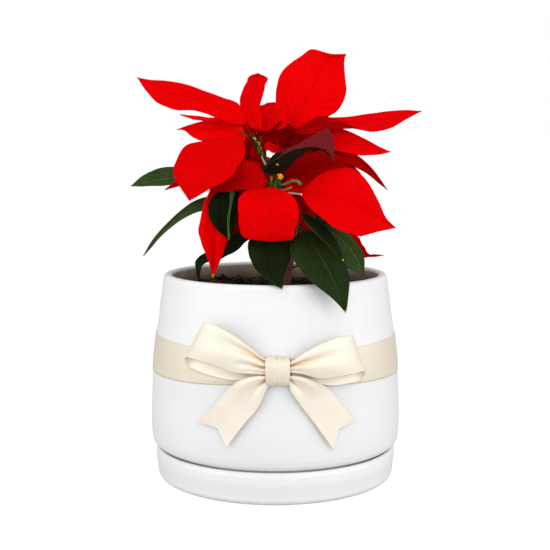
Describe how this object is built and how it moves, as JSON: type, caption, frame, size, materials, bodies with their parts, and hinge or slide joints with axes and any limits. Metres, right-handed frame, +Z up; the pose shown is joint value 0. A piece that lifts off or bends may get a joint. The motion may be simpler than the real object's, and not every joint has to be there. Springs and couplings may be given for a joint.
{
  "type": "potted plant",
  "caption": "Small poinsettia with red bracts and green leaves in a white glazed ceramic pot on its saucer, with a satin ribbon tied in a bow round the pot.",
  "frame": {"origin": "centre of the saucer's flat underside, on the pot's axis", "axes": "+Z up along the pot's axis; the bow is at the front, towards -Y; +X is to the right seen from the front"},
  "size_m": [0.1872, 0.1669, 0.2727],
  "materials": {
    "white_glaze": "gloss",
    "soil": "matte",
    "satin_ribbon": "satin",
    "stem_green": "matte",
    "bract_red": "matte",
    "bract_deep_red": "matte",
    "leaf_green": "matte",
    "bud_green": "matte"
  },
  "bodies": {
    "root": {"bow_knot": "satin_ribbon", "bow_loop_left": "satin_ribbon", "bow_loop_right": "satin_ribbon", "bow_tail_left": "satin_ribbon", "bow_tail_right": "satin_ribbon", "bract_back": "bract_red", "bract_back_left": "bract_red", "bract_back_low": "bract_red", "bract_back_right": "bract_red", "bract_back_right_low": "bract_deep_red", "bract_centre": "bract_deep_red", "bract_front": "bract_red", "bract_front_left": "bract_red", "bract_front_right": "bract_red", "bract_front_shaded": "bract_deep_red", "bract_hanging": "bract_red", "bract_inner_back": "bract_deep_red", "bract_inner_left": "bract_deep_red", "bract_inner_right": "bract_red", "bract_left": "bract_red", "bract_left_back": "bract_red", "bract_left_low": "bract_deep_red", "bract_low_right": "bract_deep_red", "bract_right": "bract_red", "bract_right_curled": "bract_deep_red", "bract_right_front": "bract_deep_red", "bract_right_mid": "bract_red", "bract_right_shaded": "bract_deep_red", "bract_small": "bract_red", "bract_top_right": "bract_red", "bract_under": "bract_deep_red", "bract_upper_left": "bract_red", "bract_upright": "bract_red", "bract_upright_back": "bract_deep_red", "buds_back": "bud_green", "buds_front": "bud_green", "buds_upper": "bud_green", "leaf_back": "leaf_green", "leaf_back_left": "leaf_green", "leaf_back_left_low": "leaf_green", "leaf_back_right": "leaf_green", "leaf_back_right_low": "leaf_green", "leaf_centre": "leaf_green", "leaf_front": "leaf_green", "leaf_front_left": "leaf_green", "leaf_front_right": "leaf_green", "leaf_left": "leaf_green", "leaf_left_drooping": "leaf_green", "leaf_low_left": "leaf_green", "leaf_narrow": "leaf_green", "leaf_right": "leaf_green", "leaf_right_inner": "leaf_green", "pot": "white_glaze", "ribbon_band": "satin_ribbon", "saucer": "white_glaze", "soil": "soil", "stem": "stem_green"}
  },
  "joints": []
}
